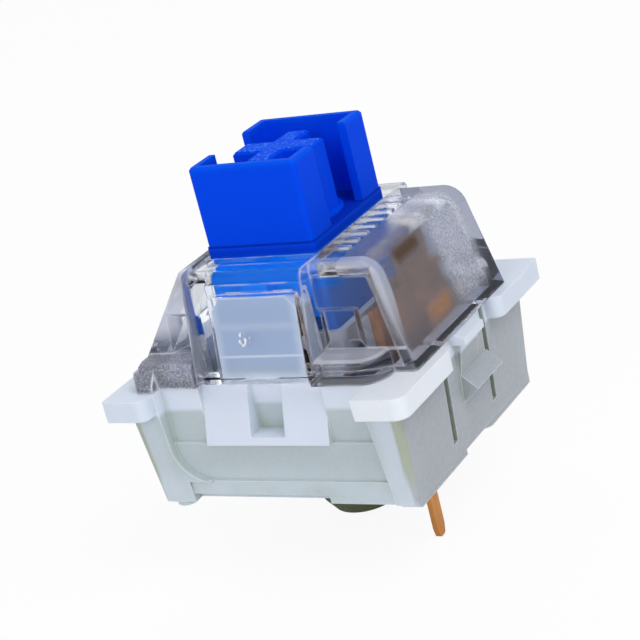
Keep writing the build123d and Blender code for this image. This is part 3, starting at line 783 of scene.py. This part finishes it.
@dataclass(frozen=True)
class StemPlastic:
    """The stem's vivid blue acetal, with painted highlights along its thin top edges, painted bounce light
    in its hollows, and painted glints on the cross's bumped top.
    """

    face: Colour = (0.0, 0.066, 0.86)
    # Painted light: the lighter, greener colour of hollows, standing in for light bounced inside them.
    inside: Colour = (0.0, 0.125, 0.84)
    # Painted highlight along the neck's thin top edges.
    rim: Colour = (0.0, 0.105, 0.88)
    band: Colour = (0.0, 0.045, 0.66)
    under: Colour = (0.0, 0.20, 0.88)
    seam: Colour = (0.0, 0.015, 0.30)
    glint: Colour = (0.04, 0.28, 0.95)
    rim_highlight_share: Number = 0.6
    seam_share: Number = 0.7
    glint_share: Number = 0.8
    roughness: Pair = (0.5, 0.58)
    ior: Number = 1.45
    gloss: Number = 0.04
    subsurface: Number = 0.1
    subsurface_radius: Colour = (0.1, 0.3, 1.0)
    subsurface_mm: Number = 0.3
    hollow_reach_mm: Number = 1.2
    grain_mm: Number = 0.09
    grain_relief: Number = 0.06
    speck_mm: Number = 0.16
    speck_deep_mm: Number = 0.04
    edge_mm: Number = 0.08
    rim_deep_mm: Number = 0.35
    glints: Ends = (0.5, 0.66)
    band_z_mm: Ends = (11.65, 11.35)
    under_z_mm: Ends = (11.25, 10.95)
    seam_mm: Number = 11.65
    seam_near_mm: Ends = (0.07, 0.02)
    cross_at: Patch = Patch(x_mm=(2.2, 2.1), y_mm=(2.2, 2.1))
    cross_near_mm: Ends = (0.08, 0.02)

    def material(self, top_mm: Number, cross_mm: Number) -> bpy.types.Material:
        """Builds the finish.

        Args:
            top_mm: The height of the neck's top edges.
            cross_mm: The height of the cross's flat top.

        Returns:
            The material.
        """
        material, graph = new_material("blue_plastic")
        place = graph.place()
        x, y, z = graph.axes_mm(place)
        # Painted light: hollows are lighter and greener, standing in for light bounced inside them.
        colour = graph.mix(graph.hollows(self.hollow_reach_mm), self.face, self.inside)
        # Painted highlight along the neck's thin top edges.
        colour = graph.mix(z.step(top_mm - self.rim_deep_mm, top_mm) * self.rim_highlight_share, colour, self.rim)
        colour = graph.mix(z.over(self.band_z_mm), colour, self.band)
        colour = graph.mix(z.over(self.under_z_mm), colour, self.under)
        seam = abs(z - self.seam_mm).over(self.seam_near_mm)
        colour = graph.mix(seam * self.seam_share, colour, self.seam)
        fine = graph.noise(place, self.grain_mm)
        specks = graph.noise(place, self.speck_mm, detail=3.0)
        cross = self.cross_at.mask(abs(x), abs(y), z) * abs(z - cross_mm).over(self.cross_near_mm)
        relief = fine * self.grain_relief + cross * specks
        graph.close(graph.principled({
            "Base Color": graph.mix(cross * specks.over(self.glints) * self.glint_share, colour, self.glint),
            "Roughness": graph.between(fine, *self.roughness),
            "Subsurface Weight": self.subsurface,
            "Subsurface Radius": self.subsurface_radius,
            "Subsurface Scale": self.subsurface_mm * MM,
            "IOR": self.ior,
            "Specular IOR Level": self.gloss,
            "Normal": graph.grain(relief, self.speck_deep_mm, self.edge_mm),
        }))
        return material


@dataclass(frozen=True)
class JacketPlastic:
    """The click jacket's plain white plastic."""

    face: Colour = (0.80, 0.82, 0.83)
    shade: Colour = (0.70, 0.74, 0.76)
    shade_share: Number = 0.4
    roughness: Pair = (0.42, 0.52)
    grain_mm: Number = 0.15
    grain_deep_mm: Number = 0.005
    edge_mm: Number = 0.08

    def material(self) -> bpy.types.Material:
        """Builds the finish.

        Returns:
            The material.
        """
        material, graph = new_material("white_plastic")
        fine = graph.noise(graph.place(), self.grain_mm)
        graph.close(graph.principled({
            "Base Color": graph.mix(fine * self.shade_share, self.face, self.shade),
            "Roughness": graph.between(fine, *self.roughness),
            "Normal": graph.grain(fine, self.grain_deep_mm, self.edge_mm),
        }))
        return material


@dataclass(frozen=True)
class PatinaAndShade:
    """A dull brown film on copper, partly painted shade: thickest high up, where the roof shades the sheets,
    and left off the pins and the lit parts of the sheets.
    """

    colour: Colour = (0.20, 0.095, 0.035)
    share: Number = 0.8
    thin: Number = 0.4
    in_patches: Number = 0.3
    shade_high_up: Number = 0.3
    patches: Ends = (0.4, 0.6)
    high_z_mm: Ends = (8.6, 9.6)
    left_bright_at: tuple[Patch, ...] = (
        Patch(x_mm=(-3.35, -3.05, -0.55, -0.25), z_mm=(5.45, 5.75, 7.05, 7.35)),
        Patch(z_mm=(6.0, 5.0)),
        Patch(x_mm=(3.2, 3.5)),
    )

    def over(self, graph: Graph, place: Signal, colour: Signal, patches: Signal) -> Signal:
        """Lays the film over a colour.

        Args:
            graph: The material's graph.
            place: The point.
            colour: The bare metal's colour.
            patches: The noise that makes the film uneven.

        Returns:
            The colour with the film.
        """
        x, y, z = graph.axes_mm(place)
        left_bright = reduce(Signal.at_least, [patch.mask(x, y, z) for patch in self.left_bright_at])
        film = self.thin + self.in_patches * patches.over(self.patches)
        # Painted shade: the film thickens high up, under the roof.
        film = film + self.shade_high_up * z.over(self.high_z_mm)
        return graph.mix((1 - left_bright) * film * self.share, colour, self.colour)


@dataclass(frozen=True)
class Metal:
    """A bare metal with drawn or rolled streaks along one axis."""

    name: str
    bright: Colour
    dull: Colour
    smooth: Number
    streak_scale: tuple[Number, Number, Number]
    patina_and_shade: PatinaAndShade | None = None
    rough_streaks: Number = 0.18
    streak_share: Number = 0.6
    patch_share: Number = 0.4
    streak_mm: Number = 0.25
    streak_deep_mm: Number = 0.004
    patch_mm: Number = 1.2
    edge_mm: Number = 0.05

    def material(self) -> bpy.types.Material:
        """Builds the finish.

        Returns:
            The material.
        """
        material, graph = new_material(self.name)
        place = graph.place()
        inputs = {"Vector": place, "Scale": self.streak_scale}
        stretched = graph.out("ShaderNodeMapping", None, inputs, "Vector")
        streaks = graph.noise(stretched, self.streak_mm, detail=3.0)
        patches = graph.noise(place, self.patch_mm)
        dullness = streaks * self.streak_share + patches * self.patch_share
        colour = graph.mix(dullness, self.bright, self.dull)
        if self.patina_and_shade:
            colour = self.patina_and_shade.over(graph, place, colour, patches)
        graph.close(graph.principled({
            "Base Color": colour,
            "Metallic": 1.0,
            "Roughness": self.smooth + self.rough_streaks * streaks,
            "Normal": graph.grain(streaks, self.streak_deep_mm, self.edge_mm),
        }))
        return material


COPPER = Metal(
    name="copper_alloy",
    bright=(0.90, 0.40, 0.12),
    dull=(0.50, 0.18, 0.04),
    smooth=0.24,
    streak_scale=(1.0, 1.0, 0.12),
    patina_and_shade=PatinaAndShade(),
)
CONTACT = Metal(
    name="contact_alloy",
    bright=(0.95, 0.76, 0.42),
    dull=(0.70, 0.50, 0.22),
    smooth=0.20,
    streak_scale=(0.2, 1.0, 1.0),
)
STEEL = Metal(
    name="spring_steel",
    bright=(0.62, 0.62, 0.64),
    dull=(0.36, 0.36, 0.38),
    smooth=0.25,
    streak_scale=(1.0, 1.0, 1.0),
)


def dress(node: str, material: bpy.types.Material) -> None:
    """Gives a CAD node one material over all its slots.

    Args:
        node: The node's name.
        material: The material.
    """
    piece = frame["nodes"][node]
    if not piece.data.materials:
        piece.data.materials.append(material)
    for slot in range(len(piece.data.materials)):
        piece.data.materials[slot] = material
    LOG.info("dressed %s with %s", node, material.name)


def add_mesh(name: str, points: list[Vector], faces: list[tuple[int, ...]]) -> bpy.types.Object:
    """Links a new mesh object with smooth faces.

    Args:
        name: The object's name.
        points: Its corners.
        faces: The corners' numbers, face by face.

    Returns:
        The object.
    """
    mesh = bpy.data.meshes.new(name)
    mesh.from_pydata([tuple(point) for point in points], [], faces)
    mesh.validate()
    for face in mesh.polygons:
        face.use_smooth = True
    made = bpy.data.objects.new(name, mesh)
    bpy.context.scene.collection.objects.link(made)
    LOG.info("made %s with %d faces", name, len(faces))
    return made


@dataclass
class Housings:
    """The milky lower housing and the clear upper one."""

    lower: MilkyPlastic = field(default_factory=MilkyPlastic)
    upper: ClearPlastic = field(default_factory=ClearPlastic)

    def build(self) -> None:
        """Dresses both housings."""
        dress("lower_housing", self.lower.material())
        dress("upper_housing", self.upper.material())


@dataclass
class Plunger:
    """The stem and the loose jacket round its barrel."""

    cross_below_mm: Number = 0.3

    def build(self) -> None:
        """Dresses the stem and the jacket."""
        top_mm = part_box("stem")[1].z / MM
        dress("stem", StemPlastic().material(top_mm, top_mm - self.cross_below_mm))
        dress("click_jacket", JacketPlastic().material())


@dataclass
class ReturnSpring:
    """The coil, close-wound at both ends."""

    wire_r: Number = 0.12 * MM
    turns: Number = 8.0
    dead_turns: Number = 1.0
    dead_pitch_per_r: Number = 2.1
    sides: int = 12
    steps_per_turn: int = 40

    def centre_line(self, low: Vector, high: Vector) -> list[Vector]:
        """The wire's centre line.

        Args:
            low: The lowest corner of the coil's box.
            high: Its highest corner.

        Returns:
            Points from the foot to the top.
        """
        radius = (high.x - low.x) / 2 - self.wire_r
        bottom = low.z + self.wire_r
        closed = self.dead_pitch_per_r * self.wire_r
        open_rise = high.z - low.z - 2 * self.wire_r - 2 * self.dead_turns * closed
        total = self.turns + 2 * self.dead_turns
        count = int(total * self.steps_per_turn)
        points = []
        for i in range(count + 1):
            turn = total * i / count
            foot = min(turn, self.dead_turns) * closed
            share = min(max((turn - self.dead_turns) / self.turns, 0.0), 1.0)
            top = max(turn - self.dead_turns - self.turns, 0.0) * closed
            angle = 2 * math.pi * turn
            height = bottom + foot + share * open_rise + top
            points.append(Vector((radius * math.cos(angle), radius * math.sin(angle), height)))
        return points

    def wire(self, line: list[Vector]) -> tuple[list[Vector], list[tuple[int, ...]]]:
        """The round wire along a centre line, closed at both ends.

        Args:
            line: The centre line.

        Returns:
            The wire's corners and faces.
        """
        points, faces = [], []
        for i, centre in enumerate(line):
            ahead = (line[min(i + 1, len(line) - 1)] - line[max(i - 1, 0)]).normalized()
            out = Vector((centre.x, centre.y, 0)).normalized()
            up = ahead.cross(out).normalized()
            for k in range(self.sides):
                angle = 2 * math.pi * k / self.sides
                points.append(centre + self.wire_r * (math.cos(angle) * out + math.sin(angle) * up))
        for i in range(len(line) - 1):
            for k in range(self.sides):
                a, b = i * self.sides + k, i * self.sides + (k + 1) % self.sides
                faces.append((a, b, b + self.sides, a + self.sides))
        last = (len(line) - 1) * self.sides
        faces.append(tuple(reversed(range(self.sides))))
        faces.append(tuple(range(last, last + self.sides)))
        return points, faces

    def build(self) -> None:
        """Builds the coil in place of the plain one and works out how much of its length the stem's travel
        leaves, which nothing uses.
        """
        low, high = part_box("return_spring")
        coil = add_mesh("return_coil", *self.wire(self.centre_line(low, high)))
        coil.data.materials.append(STEEL.material())
        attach(coil, Body.HOUSING.value)
        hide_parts("return_spring")
        travel = next(j for j in frame["joints"] if j["name"] == "stem_slide")["range_m"][1]
        keep = (high.z - low.z - travel) / (high.z - low.z)
        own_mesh(coil)


@dataclass
class Contacts:
    """The copper terminals and leaf and their contact bars."""

    sheets: tuple[str, ...] = ("fixed_terminal", "moving_terminal", "contact_leaf")
    bars: tuple[str, ...] = ("fixed_crosspoint", "moving_crosspoint")

    def build(self) -> None:
        """Dresses the sheets and the bars."""
        copper, alloy = COPPER.material(), CONTACT.material()
        for node in self.sheets:
            dress(node, copper)
        for node in self.bars:
            dress(node, alloy)


def direction(azimuth: Number, elevation: Number) -> Vector:
    """The unit vector so many degrees round from +X towards +Y, and so many degrees up."""
    turn, rise = math.radians(azimuth), math.radians(elevation)
    return Vector((math.cos(turn) * math.cos(rise), math.sin(turn) * math.cos(rise), math.sin(rise)))


@dataclass
class Lamp:
    """One soft round lamp, placed round the switch and aimed at it."""

    name: str
    azimuth: Number
    elevation: Number
    distance: Number
    size: Number
    power: Number

    def build(self, centre: Vector) -> None:
        """Links the lamp.

        Args:
            centre: The point that it is aimed at.
        """
        data = bpy.data.lights.new(self.name, "AREA")
        data.shape = "DISK"
        data.size = self.size
        data.energy = self.power
        lamp = bpy.data.objects.new(self.name, data)
        way = direction(self.azimuth, self.elevation)
        lamp.location = centre + way * self.distance
        lamp.rotation_mode = "QUATERNION"
        lamp.rotation_quaternion = (-way).to_track_quat("-Z", "Y")
        bpy.context.scene.collection.objects.link(lamp)
        LOG.info("lit %s", self.name)


@dataclass
class Studio:
    """The floor, the world, the lamps and the camera."""

    floor_r: Number = 2.0
    floor_sides: int = 64
    floor_gap: Number = 0.05 * MM
    floor_colour: Colour = (0.92, 0.92, 0.93)
    floor_glow: Number = 0.92
    sky: Colour = (0.95, 0.97, 1.0)
    sky_strength: Number = 0.42
    azimuth: Number = 32.69
    elevation: Number = 19.59
    roll: Number = 14.27
    lens_mm: Number = 109.82
    sensor_mm: Number = 36.0
    near: Number = 5 * MM
    far: Number = 10.0
    camera_mm: tuple[Number, Number, Number] = (72.537, 46.465, 37.132)
    lamps: list[Lamp] = field(default_factory=lambda: [
        Lamp("key_lamp", 75.0, 55.0, 0.30, 0.22, 0.42),
        Lamp("front_lamp", 5.0, 25.0, 0.34, 0.20, 0.27),
        Lamp("back_lamp", 215.0, 45.0, 0.34, 0.24, 0.18),
    ])

    def build(self) -> None:
        """Builds all of it."""
        low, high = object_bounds()
        self.make_floor(low.z - self.floor_gap)
        self.make_world()
        for lamp in self.lamps:
            lamp.build((low + high) / 2)
        self.make_camera()
        bpy.context.scene.view_settings.view_transform = "Standard"

    def make_floor(self, height: Number) -> None:
        """A pale disc just under the pins, which keeps the switch's shadow.

        Args:
            height: The disc's height.
        """
        level = Vector((0, 0, height))
        turns = [360 * i / self.floor_sides for i in range(self.floor_sides)]
        rim = [level + direction(turn, 0.0) * self.floor_r for turn in turns]
        floor = add_mesh("floor", rim, [tuple(range(self.floor_sides))])
        material, graph = new_material("pale_floor")
        lit = graph.out("ShaderNodeBsdfDiffuse", None, {"Color": self.floor_colour}, "BSDF")
        glow = graph.out("ShaderNodeEmission", None, {"Color": WHITE, "Strength": 1.0}, "Emission")
        graph.close(graph.blend(self.seen_rays(graph) * self.floor_glow, lit, glow))
        floor.data.materials.append(material)
        floor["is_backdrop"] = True

    @staticmethod
    def seen_rays(graph: Graph) -> Signal:
        """Tells rays that see from rays that only light.

        Args:
            graph: The graph to add to.

        Returns:
            1 for rays from the camera or through a clear piece, and 0 for the others.
        """
        camera = graph.out("ShaderNodeLightPath", None, None, "Is Camera Ray")
        clear = graph.out("ShaderNodeLightPath", None, None, "Is Transmission Ray")
        return camera.at_least(clear)

    def make_world(self) -> None:
        """White where it is seen, and a paler sky that lights."""
        world = bpy.data.worlds.new("studio")
        bpy.context.scene.world = world
        world.use_nodes = True
        graph = Graph(world.node_tree)
        kind = "ShaderNodeBackground"
        light = graph.out(kind, None, {"Color": self.sky, "Strength": self.sky_strength}, "Background")
        white = graph.out(kind, None, {"Color": WHITE, "Strength": 1.0}, "Background")
        shader = graph.blend(self.seen_rays(graph), light, white)
        graph.node("ShaderNodeOutputWorld", None, {"Surface": shader})

    def make_camera(self) -> None:
        """A long lens, rolled so that the switch leans back to the left."""
        data = bpy.data.cameras.new("camera")
        data.lens = self.lens_mm
        data.sensor_width = self.sensor_mm
        data.clip_start = self.near
        data.clip_end = self.far
        camera = bpy.data.objects.new("camera", data)
        back = direction(self.azimuth, self.elevation)
        roll = math.radians(self.roll)
        right = Vector((0, 0, 1)).cross(back).normalized()
        up = back.cross(right)
        across = math.cos(roll) * right - math.sin(roll) * up
        over = math.cos(roll) * up + math.sin(roll) * right
        columns = (across, over, back, Vector(self.camera_mm) * MM)
        camera.matrix_world = Matrix([[column[i] for column in columns] for i in range(3)] + [[0, 0, 0, 1]])
        bpy.context.scene.collection.objects.link(camera)
        bpy.context.scene.camera = camera


def main() -> None:
    logging.basicConfig(level=logging.INFO, format="%(message)s")
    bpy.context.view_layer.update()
    for part in (Housings(), Plunger(), ReturnSpring(), Contacts()):
        part.build()
        LOG.info("built %s", type(part).__name__)
    Studio().build()


if __name__ == "__main__":
    main()
